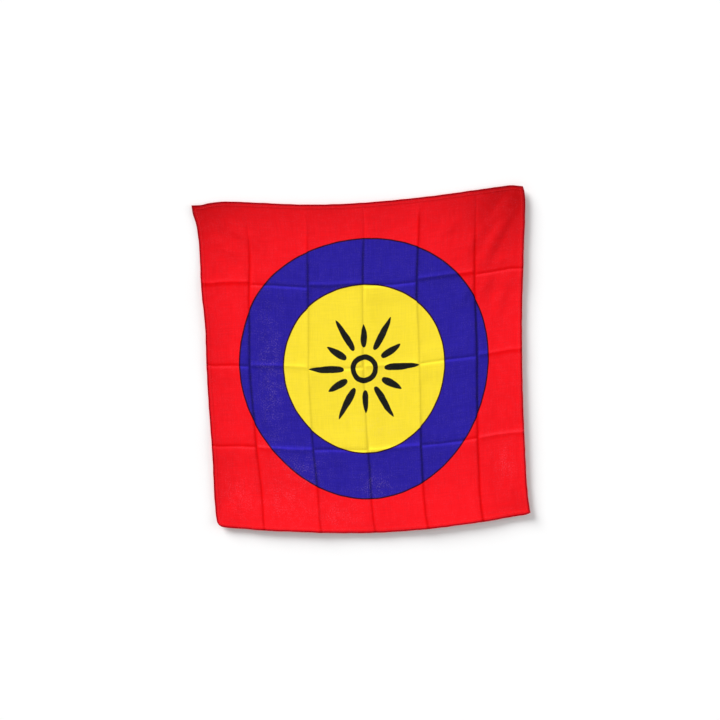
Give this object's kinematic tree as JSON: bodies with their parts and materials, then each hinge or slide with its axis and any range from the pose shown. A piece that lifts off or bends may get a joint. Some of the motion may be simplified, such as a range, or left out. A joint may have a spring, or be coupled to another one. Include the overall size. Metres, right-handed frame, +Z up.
{
  "type": "worship flag",
  "caption": "Square flag of thin printed cloth with a narrow turned hem, lying open face up with its packing creases.",
  "frame": {"origin": "on the surface that the cloth lies on, under the middle of its outline", "axes": "+Z up from the surface, +Y up the printed face to its top side, +X to the right across the face"},
  "size_m": [0.9294, 0.9536, 0.0216],
  "materials": {
    "cloth": "printed matte voile, red ground with a blue ring and a yellow disc"
  },
  "bodies": {
    "root": {"flag_cloth": "cloth"}
  },
  "joints": []
}
